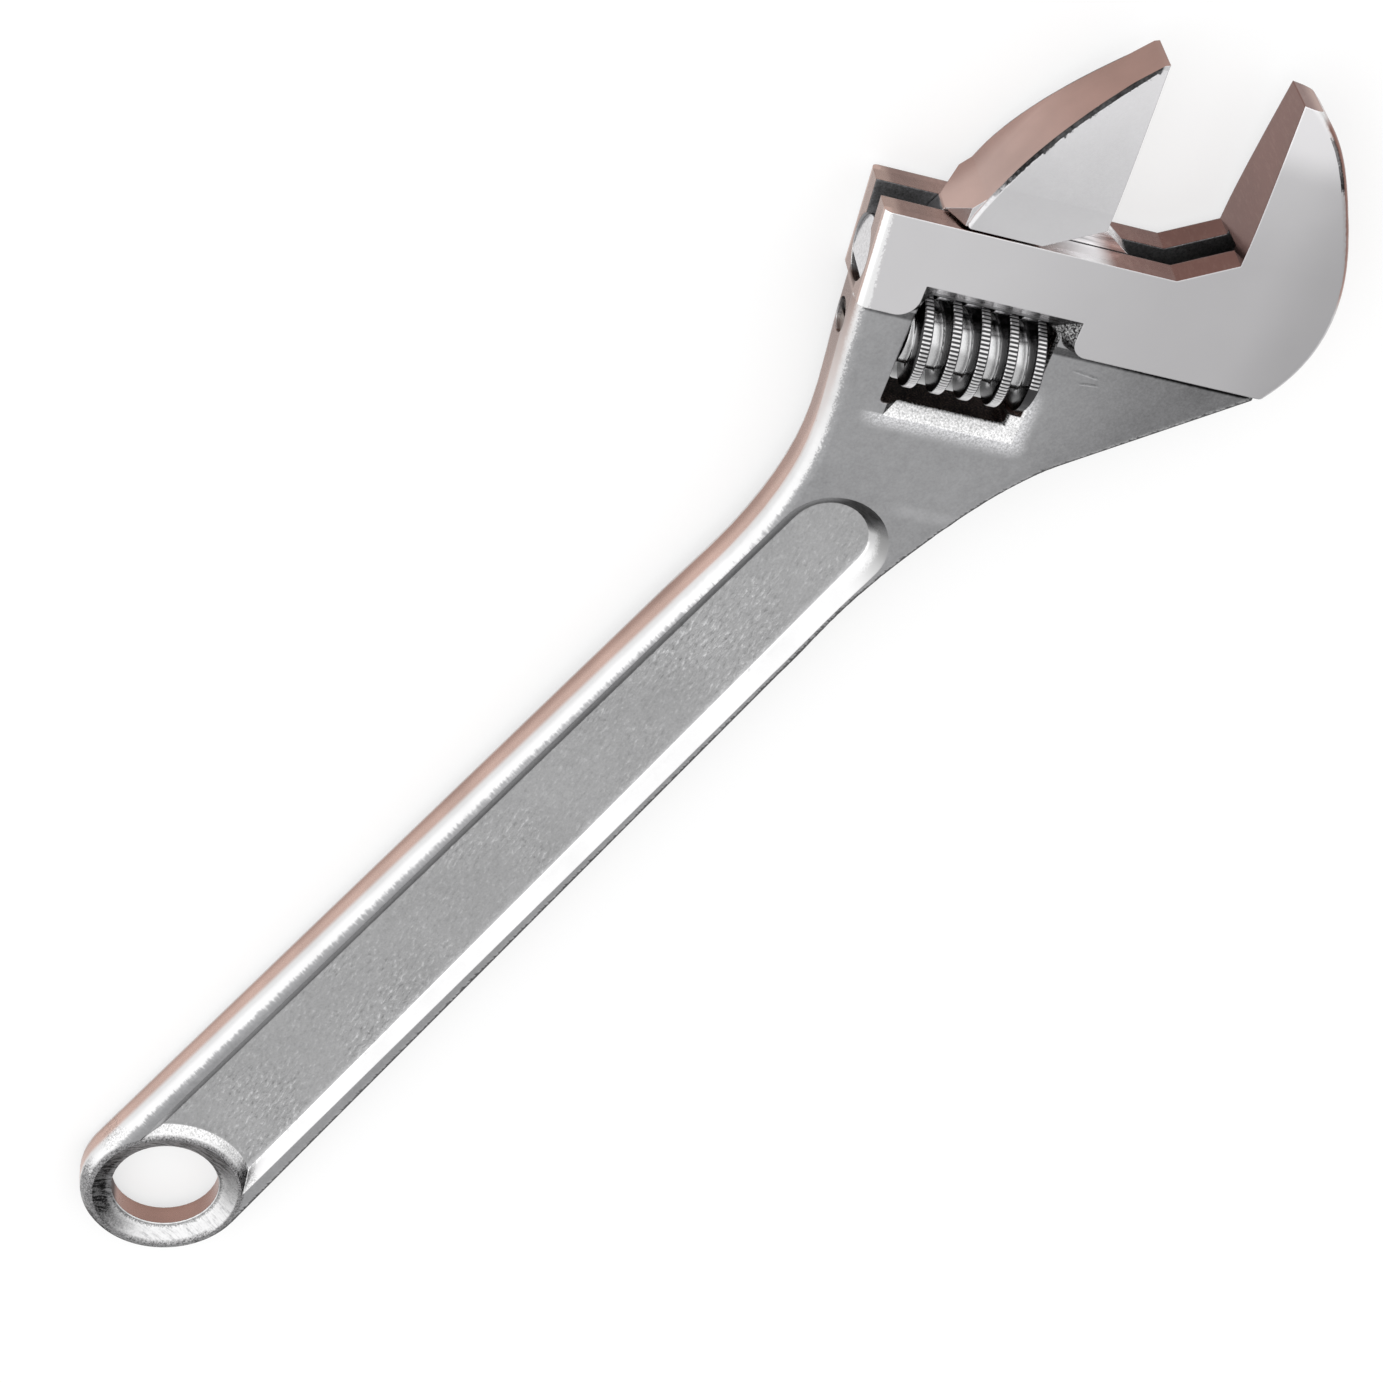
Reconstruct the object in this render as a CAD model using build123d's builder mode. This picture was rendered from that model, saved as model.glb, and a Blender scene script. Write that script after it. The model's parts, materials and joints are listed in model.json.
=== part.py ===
from build123d import *
import os
from math import atan2, cos, pi, radians, sin, tan

# Adjustable wrench. The origin is the centre of the hang hole, halfway through the handle. +X runs along
# the handle to the head and +Z out of a broad face. The head has its own directions: s along the slide
# towards the fixed jaw and t along the jaws towards their tips, from the corner of the throat.

# Where the head stands on the handle
throat_reach = 319.4
throat_drop = 20.4
head_angle = 23.0

# Handle and hang hole
handle_end_radius = 19.4
handle_thickness = 10.8
handle_edge_round = 3.6
hang_hole_diameter = 24.4
hang_hole_land = 5.0
countersink_diameter = 33.4
waist_width = 29.0
waist_to_throat = 107.0
waist_straight_margin = 18.0

# Recessed panel on both faces of the handle
panel_web = 6.0
panel_slope = 45.0
panel_rail_at_hole = 7.2
panel_rail_at_waist = 5.8
panel_end_to_throat = 85.0
ring_width = 0.7
ring_slope_run = 2.2

# Neck, whose two sides flare out from the waist to the head
neck_thickness = 14.2
neck_top_to_throat = 80.4
neck_top_height = 18.7
neck_bottom_to_throat = 77.0
neck_bottom_height = 17.4
neck_knee_to_throat = 50.4
neck_knee_height = 25.7
neck_shoulder_s = 17.0
neck_shoulder_t = 24.3

# Head and fixed jaw
head_thickness = 18.8
pad_depth = 21.2
pad_corner_round = 3.2
pad_rear_round = 4.4
rear_lean = 4.8
rear_wall = 12.0
rear_edge_round = 1.4
jaw_back_round = 1.6
rim_edge_angle = 20.0
throat_run = 11.0
throat_angle = 30.0
jaw_reach = 40.2
jaw_tip_thickness = 10.4
jaw_taper_start = 8.0
jaw_taper_bend = 16.0
fixed_tip_flat = 4.4
fixed_tip_drop = 0.5
fixed_back_tip_s = 10.9
fixed_back_tip_t = 33.2
fixed_back_upper_s = 16.0
fixed_back_upper_t = 24.1
fixed_back_width = 23.5
fixed_back_lower_s = 17.2

# Slide: a round guide in a bore, and a web in the slot above it
guide_depth = 13.4
guide_diameter = 13.3
guide_clearance = 0.08
web_thickness = 5.9
web_clearance = 0.2
rail_gap = 0.5
opening_at_rest = 28.6
jaw_base = 26.9
web_overhang = 3.3
web_rear_lean = 26.0
nose_reach = 8.5
nose_top = 5.6
nose_room = 0.7
guide_tail_recess = 0.4
slot_end = 2.4
slot_end_round = 2.4
slot_end_rise = 0.9

# Sliding jaw's back
slide_tip_flat = 1.0
slide_tip_drop = 0.4
slide_tip_extra = 1.2
slide_back_upper_s = 15.5
slide_back_upper_t = 24.0
slide_back_lower_s = 24.9
slide_back_lower_t = 7.0
slide_back_round = 0.8

# Worm, its window and its pin
worm_diameter = 22.4
worm_root_diameter = 13.4
worm_length = 28.0
worm_pitch = 6.0
worm_crest = 2.0
worm_flank = 7.0
worm_to_throat = 28.9
worm_depth = 28.8
worm_first_crest = 1.4
worm_end_play = 0.6
worm_room = 0.7
rack_play = 0.25
rack_tip_room = 0.5
window_overlap = 1.5
window_finger_gap = 2.4
window_corner_round = 1.0
bevel_at_pad_rear = 0.9
bevel_at_pad_front = 5.1
bevel_at_pad_top = 3.3
bevel_at_pad_bottom = 5.3
pin_diameter = 5.0
pin_head_diameter = 7.2
pin_play = 0.08
pin_seat = 8.0
pin_recess = 1.0
pin_slot_width = 1.2
pin_slot_depth = 1.6
pin_head_clearance = 0.05
pin_end_gap = 0.2

# Spring behind the worm
spring_wire = 0.8
spring_coil_diameter = 7.4
spring_turns = 5
spring_room = 0.5
spring_pocket_depth = 7.0
spring_seat_gap = 0.15

# Values worked out from those above
handle_half = handle_thickness / 2
neck_half = neck_thickness / 2
head_half = head_thickness / 2
waist_x = throat_reach - waist_to_throat
waist_half = waist_width / 2
throat_rise = throat_run * tan(radians(throat_angle))
worm_radius = worm_diameter / 2
worm_right = -worm_to_throat
worm_left = worm_right - worm_length
window_rear = worm_left - worm_end_play
window_front = worm_right - window_overlap
window_top = -worm_depth + worm_radius + worm_room
window_bottom = -worm_depth - worm_radius - window_finger_gap
guide_radius = guide_diameter / 2
bore_radius = guide_radius + guide_clearance
slot_half = web_thickness / 2 + web_clearance
jaw_face = -opening_at_rest
jaw_half = head_half - guide_clearance
past = 2.0
countersink_slope = (countersink_diameter - hang_hole_diameter) / (handle_thickness - hang_hole_land)

slide = Vector(sin(radians(head_angle)), -cos(radians(head_angle)), 0)
along_jaw = Vector(cos(radians(head_angle)), sin(radians(head_angle)), 0)
throat = Vector(throat_reach, -throat_drop, 0)
head_plane = Plane(origin=throat, x_dir=slide, z_dir=(0, 0, 1))


def at_head(s, t):
    """The point of the mid plane at s along the slide and t along the jaws."""
    return throat + slide * s + along_jaw * t


def across_slide(s, t=0.0):
    """A plane square to the slide, with its x along the jaws and its y along +Z."""
    return Plane(origin=at_head(s, t), x_dir=along_jaw, z_dir=slide)


def rear_s(t):
    """Where the head's rear face lies at height t."""
    return window_rear - rear_wall - (t + worm_depth) * tan(radians(rear_lean))


def head_s(edge):
    """How far the middle of an edge lies along the slide."""
    return (edge @ 0.5 - throat).dot(slide)


def head_t(edge):
    """How far the middle of an edge lies along the jaws."""
    return (edge @ 0.5 - throat).dot(along_jaw)


def rim_edges(solid):
    """The edges near a broad face of the head that run along the jaws."""
    near = [edge for edge in solid.edges() if abs((edge @ 0.5).Z) > past]
    return [edge for edge in near if abs((edge % 0.5).dot(slide)) < cos(radians(rim_edge_angle))]


guide_tail = rear_s(-guide_depth) + guide_tail_recess
guide_nose = jaw_face + nose_reach
bore_end = nose_reach + nose_room

# Forged handle and neck, thicker towards the head
handle_taper = atan2(handle_end_radius - waist_half, waist_x)
round_end = Vector(handle_end_radius * sin(handle_taper), handle_end_radius * cos(handle_taper))
straight_x = waist_x - waist_straight_margin
straight_half = round_end.Y - (straight_x - round_end.X) * tan(handle_taper)
neck_top = (throat_reach - neck_top_to_throat, neck_top_height)
neck_bottom = (throat_reach - neck_bottom_to_throat, -neck_bottom_height)
neck_knee = Vector(throat_reach - neck_knee_to_throat, -neck_knee_height)
neck_shoulder = at_head(neck_shoulder_s, -neck_shoulder_t)
rear_foot = at_head(rear_s(-worm_depth), -worm_depth)
rear_inside = at_head(rear_s(-pad_depth / 2), -pad_depth / 2)
fixed_inside = at_head(fixed_back_lower_s, -pad_depth / 2)
side_reach = 2 * handle_end_radius
side_rise = (neck_half - handle_half) / throat_reach

with BuildPart() as handle_blank:
    with BuildSketch():
        with BuildLine():
            Line(rear_inside, rear_foot)
            Spline(
                rear_foot,
                neck_top,
                (waist_x, waist_half),
                (straight_x, straight_half),
                tangents=[rear_foot - rear_inside, (-cos(handle_taper), sin(handle_taper))],
            )
            Line((straight_x, straight_half), (round_end.X, round_end.Y))
            ThreePointArc((round_end.X, round_end.Y), (-handle_end_radius, 0), (round_end.X, -round_end.Y))
            Line((round_end.X, -round_end.Y), (straight_x, -straight_half))
            Spline(
                (straight_x, -straight_half),
                (waist_x, -waist_half),
                neck_bottom,
                neck_knee,
                tangents=[(cos(handle_taper), -sin(handle_taper)), neck_shoulder - neck_knee],
            )
            Polyline(neck_knee, neck_shoulder, fixed_inside, rear_inside)
        make_face()
    extrude(amount=head_half, both=True)
    with BuildSketch(Plane.XZ):
        with BuildLine():
            Polyline(
                (-side_reach, handle_half - side_reach * side_rise),
                (throat_reach + side_reach, neck_half + side_reach * side_rise),
                (throat_reach + side_reach, -neck_half - side_reach * side_rise),
                (-side_reach, -handle_half + side_reach * side_rise),
                close=True,
            )
        make_face()
    extrude(amount=throat_reach, both=True, mode=Mode.INTERSECT)
    broad_faces = handle_blank.faces().filter_by(GeomType.PLANE).sort_by(SortBy.AREA)[-2:]
    rim = [edge for face in broad_faces for edge in face.outer_wire().edges()]
    fillet([edge for edge in rim if head_t(edge) < -pad_depth / 2 - past], handle_edge_round)


# Head and fixed jaw, both faces drawn in towards the jaw's tip
def jaw_taper(s):
    """What is cut off both faces of a jaw, so that they draw in towards its tip."""
    with BuildSketch(across_slide(s)) as profile:
        with BuildLine():
            Bezier(
                (jaw_taper_start, head_half),
                (jaw_taper_bend, head_half),
                (jaw_reach, jaw_tip_thickness / 2),
            )
            Polyline(
                (jaw_reach, jaw_tip_thickness / 2),
                (jaw_reach + 2 * past, jaw_tip_thickness / 2),
                (jaw_reach + 2 * past, head_half + past),
                (jaw_taper_start, head_half + past),
                (jaw_taper_start, head_half),
            )
        make_face()
        mirror(about=Plane.XZ)
    return profile.sketch


with BuildPart() as head_block:
    with BuildSketch(head_plane):
        with BuildLine():
            Polyline(
                (fixed_back_lower_s, -pad_depth),
                (rear_s(-pad_depth), -pad_depth),
                (rear_s(0), 0),
                (-throat_run, 0),
                (0, throat_rise),
                (0, jaw_reach),
                (fixed_tip_flat, jaw_reach - fixed_tip_drop),
            )
            Spline(
                (fixed_tip_flat, jaw_reach - fixed_tip_drop),
                (fixed_back_tip_s, fixed_back_tip_t),
                (fixed_back_upper_s, fixed_back_upper_t),
                (fixed_back_width, 0),
                (fixed_back_lower_s, -pad_depth),
            )
        make_face()
    extrude(amount=head_half, both=True)
    extrude(jaw_taper(-past), amount=fixed_back_width + 2 * past, mode=Mode.SUBTRACT)
    fillet([edge for edge in rim_edges(head_block) if head_s(edge) < rear_s(0) + past], rear_edge_round)
    fillet([edge for edge in rim_edges(head_block) if head_s(edge) > fixed_tip_flat + past], jaw_back_round)

# Recessed panel, with the ring round the hang hole left standing
panel_half = panel_web / 2
panel_height = head_half - panel_half
panel_spread = panel_height / tan(radians(panel_slope))
panel_start_half = handle_end_radius - panel_rail_at_hole
panel_end_half = waist_half - panel_rail_at_waist
panel_apex = throat_reach - panel_end_to_throat
ring_top = countersink_diameter / 2 + ring_width
ring_foot = ring_top + ring_slope_run
ring_slope = ring_slope_run / (handle_half - panel_half)

with BuildPart() as panel_cut:
    for height, spread in ((panel_half, 0.0), (panel_half + panel_height, panel_spread)):
        end_x = panel_apex - panel_end_half
        with BuildSketch(Plane.XY.offset(height)):
            with BuildLine():
                Polyline(
                    (end_x, -panel_end_half - spread),
                    (0, -panel_start_half - spread),
                    (0, panel_start_half + spread),
                    (end_x, panel_end_half + spread),
                )
                ThreePointArc(
                    (end_x, panel_end_half + spread),
                    (panel_apex + spread, 0),
                    (end_x, -panel_end_half - spread),
                )
            make_face()
    loft(ruled=True)
    with BuildSketch(Plane.XZ):
        with BuildLine():
            Polyline(
                (0, panel_half),
                (ring_foot, panel_half),
                (ring_foot - ring_slope * panel_height, panel_half + panel_height),
                (0, panel_half + panel_height),
                close=True,
            )
        make_face()
    revolve(axis=Axis.Z, mode=Mode.SUBTRACT)
    mirror(about=Plane.XY)

# Slot and bore that the sliding jaw runs in
nose_slope = nose_top / nose_reach

with BuildPart() as slide_cut:
    with BuildSketch(head_plane):
        with BuildLine():
            Polyline(
                (rear_s(0) - rear_wall, -guide_depth),
                (bore_end, -guide_depth),
                (bore_end, nose_room),
                (slot_end, nose_room + (bore_end - slot_end) * nose_slope),
                (slot_end, throat_rise + slot_end_rise),
                (rear_s(0) - rear_wall, throat_rise + slot_end_rise),
                close=True,
            )
        make_face()
    extrude(amount=slot_half, both=True)
    upright = [edge for edge in slide_cut.edges() if abs((edge @ 0.5).Z) > slot_half / 2]
    fillet([edge for edge in upright if abs(head_s(edge) - slot_end) < slot_half / 2], slot_end_round)
    with BuildSketch(across_slide(rear_s(0) - rear_wall, -guide_depth)):
        Circle(bore_radius)
    extrude(amount=bore_end - rear_s(0) + rear_wall)

# Window for the worm, bevelled on both faces, with room for the worm's end and the holes for its pin
bevel_rear = window_rear - bevel_at_pad_rear
bevel_front = window_front + bevel_at_pad_front
bevel_top = window_top + bevel_at_pad_top
bevel_bottom = window_bottom - bevel_at_pad_bottom
bevel_depth = max(bevel_at_pad_front, bevel_at_pad_bottom)
pin_end = worm_right + worm_end_play + pin_seat

with BuildPart() as window_cut:
    with BuildSketch(head_plane):
        with Locations(((window_rear + window_front) / 2, (window_top + window_bottom) / 2)):
            RectangleRounded(window_front - window_rear, window_top - window_bottom, window_corner_round)
    extrude(amount=head_half + past, both=True)
    for height, spread in ((head_half - bevel_depth, -bevel_depth), (head_half + past, past)):
        with BuildSketch(head_plane.offset(height)):
            with BuildLine():
                Polyline(
                    (bevel_rear - spread, bevel_bottom - spread),
                    (bevel_front + spread, bevel_bottom - spread),
                    (bevel_front + spread, bevel_top + spread),
                    (bevel_rear - spread, bevel_top + spread),
                    close=True,
                )
            make_face()
    loft(ruled=True)
    for corner, side, corner_round in ((bevel_front, 1, pad_corner_round), (bevel_rear, -1, pad_rear_round)):
        corner_mid = corner_round * (1 - cos(radians(45)))
        for height in (neck_half, head_half + past):
            corner_s = corner + side * (height - head_half)
            with BuildSketch(head_plane.offset(height)):
                with BuildLine():
                    ThreePointArc(
                        (corner_s, corner_round - pad_depth),
                        (corner_s + side * corner_mid, corner_mid - pad_depth),
                        (corner_s + side * corner_round, -pad_depth),
                    )
                    Polyline(
                        (corner_s + side * corner_round, -pad_depth),
                        (corner_s + side * corner_round, -pad_depth - past),
                        (corner_s - side * past, -pad_depth - past),
                        (corner_s - side * past, corner_round - pad_depth),
                        (corner_s, corner_round - pad_depth),
                    )
                make_face()
        loft(ruled=True)
    mirror(about=Plane.XY)
    with BuildSketch(across_slide(window_rear, -worm_depth)):
        Circle(worm_radius + worm_room)
    extrude(amount=worm_right + worm_end_play - window_rear)
    with BuildSketch(across_slide(rear_s(0) - rear_wall, -worm_depth)):
        Circle(pin_head_diameter / 2)
    extrude(amount=window_rear - rear_s(0) + rear_wall)
    with BuildSketch(across_slide(window_rear, -worm_depth)):
        Circle(pin_diameter / 2 + pin_head_clearance)
    extrude(amount=pin_end - window_rear)

with BuildPart() as wrench_body:
    add(handle_blank.part)
    add(head_block.part)
    with BuildSketch(Plane.XZ):
        with BuildLine():
            Polyline(
                (0, 0),
                (hang_hole_diameter / 2, 0),
                (hang_hole_diameter / 2, hang_hole_land / 2),
                (countersink_diameter / 2, handle_half),
                (countersink_diameter / 2 + past * countersink_slope, handle_half + past),
                (0, handle_half + past),
                close=True,
            )
        make_face()
        mirror(about=Plane.XZ)
    revolve(axis=Axis.Z, mode=Mode.SUBTRACT)
    add(panel_cut.part, mode=Mode.SUBTRACT)
    add(slide_cut.part, mode=Mode.SUBTRACT)
    add(window_cut.part, mode=Mode.SUBTRACT)

# Sliding jaw: the jaw itself, the web in the slot, the guide in the bore and the rack under the guide
slide_tip = jaw_reach + slide_tip_extra
jaw_rear = jaw_face - jaw_base
web_foot = jaw_rear - web_overhang - (guide_depth + rail_gap) * tan(radians(web_rear_lean))
slide_back_top = (jaw_face - slide_tip_flat, slide_tip - slide_tip_drop)
groove_root = -worm_depth + worm_radius + rack_tip_room
guide_bottom = -guide_depth - guide_radius
groove_top_width = worm_crest + 2 * rack_play
groove_mouth_width = groove_top_width + 2 * (groove_root - guide_bottom) * tan(radians(worm_flank))
thread_slant = atan2(worm_pitch / (2 * pi), worm_depth + guide_bottom + (groove_root - guide_bottom) / 2)
first_groove = worm_left + worm_first_crest
groove_count = int((guide_nose - guide_tail) / worm_pitch) + 2
groove_start = int((first_groove - guide_tail) / worm_pitch) + 1
tail_groove = first_groove - (groove_start - 1) * worm_pitch

prow_half = jaw_half - slide_back_round

# The foot of the jaw's back, which narrows to the web like a prow
with BuildPart() as jaw_prow:
    with BuildSketch(head_plane):
        with BuildLine():
            Polyline(
                (jaw_rear - web_overhang, rail_gap),
                (jaw_rear + web_overhang, rail_gap),
                (jaw_face - slide_back_lower_s, slide_back_lower_t),
                close=True,
            )
        make_face()
    extrude(amount=prow_half, both=True)
    with BuildSketch(Plane(origin=at_head(jaw_rear, rail_gap), x_dir=slide, z_dir=along_jaw)):
        with BuildLine():
            Polyline(
                (-web_overhang, -web_thickness / 2),
                (0, -prow_half),
                (jaw_base, -prow_half),
                (jaw_base, prow_half),
                (0, prow_half),
                (-web_overhang, web_thickness / 2),
                close=True,
            )
        make_face()
    extrude(amount=slide_back_lower_t - rail_gap, mode=Mode.INTERSECT)

across = slide * sin(thread_slant) + Vector(0, 0, cos(thread_slant))
beside = slide * cos(thread_slant) - Vector(0, 0, sin(thread_slant))

with BuildPart() as sliding_jaw:
    with BuildSketch(head_plane):
        with BuildLine():
            Polyline(
                (jaw_rear, rail_gap),
                (jaw_face - throat_run, rail_gap),
                (jaw_face, rail_gap + throat_rise),
                (jaw_face, slide_tip),
                slide_back_top,
            )
            Spline(
                slide_back_top,
                (jaw_face - slide_back_upper_s, slide_back_upper_t),
                (jaw_face - slide_back_lower_s, slide_back_lower_t),
                (jaw_rear, rail_gap),
            )
        make_face()
    extrude(amount=jaw_half, both=True)
    extrude(jaw_taper(jaw_rear - past), amount=jaw_base + 2 * past, mode=Mode.SUBTRACT)
    back_edges = [edge for edge in rim_edges(sliding_jaw) if head_s(edge) < jaw_face - throat_run]
    fillet(back_edges, slide_back_round)
    add(jaw_prow.part)
    with BuildSketch(head_plane):
        with BuildLine():
            Polyline(
                (web_foot, -guide_depth),
                (guide_nose, -guide_depth),
                (guide_nose, 0),
                (jaw_face, nose_top),
                (jaw_face - throat_run, rail_gap + throat_rise),
                (jaw_face - slide_back_lower_s, slide_back_lower_t),
                (jaw_rear - web_overhang, rail_gap),
                close=True,
            )
        make_face()
    extrude(amount=web_thickness / 2, both=True)
    with BuildSketch(across_slide(guide_tail, -guide_depth)):
        Circle(guide_radius)
    extrude(amount=guide_nose - guide_tail)
    for groove in range(groove_count):
        groove_s = first_groove + (groove - groove_start) * worm_pitch
        with BuildSketch(Plane(origin=at_head(groove_s, groove_root), x_dir=beside, z_dir=across)):
            with BuildLine():
                Polyline(
                    (-groove_top_width / 2, 0),
                    (groove_top_width / 2, 0),
                    (groove_mouth_width / 2, guide_bottom - groove_root - past),
                    (-groove_mouth_width / 2, guide_bottom - groove_root - past),
                    close=True,
                )
            make_face()
        extrude(amount=guide_diameter, both=True, mode=Mode.SUBTRACT)
    with BuildSketch(head_plane):
        with BuildLine():
            Polyline(
                (guide_tail - past, groove_root),
                (tail_groove, groove_root),
                (tail_groove, guide_bottom - past),
                (guide_tail - past, guide_bottom - past),
                close=True,
            )
        make_face()
    extrude(amount=guide_diameter, both=True, mode=Mode.SUBTRACT)

# Worm: its cross-section, turned along the axis, then set on the pin
worm_frame = Plane(origin=at_head(worm_left, -worm_depth), x_dir=along_jaw, z_dir=slide)
root_radius = worm_root_diameter / 2
thread_depth = worm_radius - root_radius
spring_pocket = spring_coil_diameter / 2 + spring_wire / 2 + spring_room
crest_turn = pi * worm_crest / worm_pitch
flank_turn = 2 * pi * thread_depth * tan(radians(worm_flank)) / worm_pitch
section_turn = -2 * pi * worm_first_crest / worm_pitch
flank_steps = 4


def worm_point(radius, turn):
    """A point of the worm's cross-section, turned from the middle of the crest."""
    return (radius * cos(section_turn + turn), radius * sin(section_turn + turn))


def flank_point(side, step):
    """A point of the thread's flank, from the crest at step 0 down to the root."""
    share = step / flank_steps
    return worm_point(worm_radius - thread_depth * share, side * (crest_turn + flank_turn * share))


with BuildSketch() as worm_section:
    with BuildLine():
        ThreePointArc(flank_point(-1, 0), worm_point(worm_radius, 0), flank_point(1, 0))
        Spline([flank_point(1, step) for step in range(flank_steps + 1)])
        ThreePointArc(flank_point(1, flank_steps), worm_point(root_radius, pi), flank_point(-1, flank_steps))
        Spline([flank_point(-1, flank_steps - step) for step in range(flank_steps + 1)])
    make_face()

worm_blank = Solid.extrude_linear_with_rotation(
    worm_section.face(), (0, 0, 0), (0, 0, worm_length), 360 * worm_length / worm_pitch
)

from_base = (Align.CENTER, Align.CENTER, Align.MIN)

with BuildPart() as worm_about_axis:
    add(worm_blank)
    Cylinder(pin_diameter / 2 + pin_play, 3 * worm_length, mode=Mode.SUBTRACT)
    with Locations((0, 0, worm_length - spring_pocket_depth)):
        Cylinder(spring_pocket, worm_length, align=from_base, mode=Mode.SUBTRACT)

# Pin: a slotted head in the rear wall and a plain journal through the worm
pin_start = rear_s(-worm_depth) + pin_recess

with BuildPart() as worm_pin:
    with BuildSketch(across_slide(pin_start, -worm_depth)):
        Circle(pin_head_diameter / 2 - pin_head_clearance)
    extrude(amount=window_rear - pin_start)
    with BuildSketch(across_slide(window_rear, -worm_depth)):
        Circle(pin_diameter / 2)
    extrude(amount=pin_end - pin_end_gap - window_rear)
    with BuildSketch(across_slide(pin_start, -worm_depth)):
        Rectangle(pin_slot_width, pin_head_diameter)
    extrude(amount=pin_slot_depth, mode=Mode.SUBTRACT)

# Spring between the worm's pocket and the end of the window
spring_length = spring_pocket_depth + worm_end_play - 2 * spring_seat_gap - spring_wire
spring_frame = Plane(
    origin=at_head(worm_right - spring_pocket_depth + spring_seat_gap + spring_wire / 2, -worm_depth),
    x_dir=along_jaw,
    z_dir=slide,
)

with BuildPart() as spring_about_axis:
    with BuildLine() as spring_path:
        Helix(spring_length / spring_turns, spring_length, spring_coil_diameter / 2)
    with BuildSketch(Plane.XZ):
        with Locations((spring_coil_diameter / 2, 0)):
            Circle(spring_wire / 2)
    sweep(path=spring_path.line, is_frenet=True)

pieces = {
    "wrench_body": wrench_body.part,
    "sliding_jaw": sliding_jaw.part,
    "adjusting_worm": worm_about_axis.part.moved(worm_frame.location),
    "worm_pin": worm_pin.part,
    "worm_spring": spring_about_axis.part.moved(spring_frame.location),
}

os.makedirs("parts", exist_ok=True)
for name, piece in pieces.items():
    piece.label = name
    export_step(piece, f"parts/{name}.step")
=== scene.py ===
import json
from math import atan2, pi, sqrt

import bmesh
import bpy
from mathutils import Matrix, Vector


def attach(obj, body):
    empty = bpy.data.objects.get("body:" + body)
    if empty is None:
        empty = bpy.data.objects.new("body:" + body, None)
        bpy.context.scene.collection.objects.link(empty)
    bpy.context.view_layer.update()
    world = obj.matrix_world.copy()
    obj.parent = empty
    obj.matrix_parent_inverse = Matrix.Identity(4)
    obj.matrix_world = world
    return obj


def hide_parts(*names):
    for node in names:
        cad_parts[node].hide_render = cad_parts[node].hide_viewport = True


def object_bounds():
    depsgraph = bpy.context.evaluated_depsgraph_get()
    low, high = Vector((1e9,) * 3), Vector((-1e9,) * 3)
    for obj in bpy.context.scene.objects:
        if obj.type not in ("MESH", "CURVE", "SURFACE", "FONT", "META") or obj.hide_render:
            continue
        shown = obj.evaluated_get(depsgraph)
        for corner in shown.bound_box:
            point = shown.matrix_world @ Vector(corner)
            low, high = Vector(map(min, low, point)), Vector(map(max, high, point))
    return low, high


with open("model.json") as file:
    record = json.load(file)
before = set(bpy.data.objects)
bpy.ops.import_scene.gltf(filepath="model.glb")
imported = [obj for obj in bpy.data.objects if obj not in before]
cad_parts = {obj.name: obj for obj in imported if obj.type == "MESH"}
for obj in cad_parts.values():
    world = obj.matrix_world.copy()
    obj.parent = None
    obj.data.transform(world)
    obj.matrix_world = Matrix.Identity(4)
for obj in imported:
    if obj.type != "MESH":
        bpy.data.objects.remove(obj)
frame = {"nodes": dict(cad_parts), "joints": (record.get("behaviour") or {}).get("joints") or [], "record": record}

cad_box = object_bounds()

# Forged body: handle, neck, head and fixed jaw in one drop forging of alloy steel, plated all over.
# The pad of the head and the jaw were ground and polished before plating, while the neck and the sunk
# panel of the handle kept the fine grain and the ripples of the die.
mm_per_metre = 1000.0
mounts = {mount["name"]: mount for mount in frame["record"]["mounts"]}
joints = {joint["name"]: joint for joint in frame["joints"]}
slide = Vector(joints["jaw_slide"]["axis"])
along_jaw = Vector((-slide.y, slide.x, 0.0))
jaw_face_point_height = 0.024
throat = Vector(mounts["fixed_jaw_face"]["pos_m"]) - along_jaw * jaw_face_point_height

plate_grain = (0.350, 0.350, 0.357)
plate_polished = (0.590, 0.582, 0.592)
plate_panel = (0.420, 0.420, 0.424)
# plate_highlight is a painted highlight for edges turned to the lamp side and for the pad's rear edge.
plate_highlight = (0.730, 0.728, 0.730)
plate_gritty = (0.215, 0.212, 0.215)
# The three flank browns are a painted reflection of a brown surface on the plated flanks, not the steel's own
# colour.
reflected_flank_pale = (0.580, 0.400, 0.340)
reflected_flank_deep = (0.230, 0.112, 0.092)
reflected_flank_low = (0.310, 0.186, 0.152)
body_edge_round = 0.00045
edge_samples = 6


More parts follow.
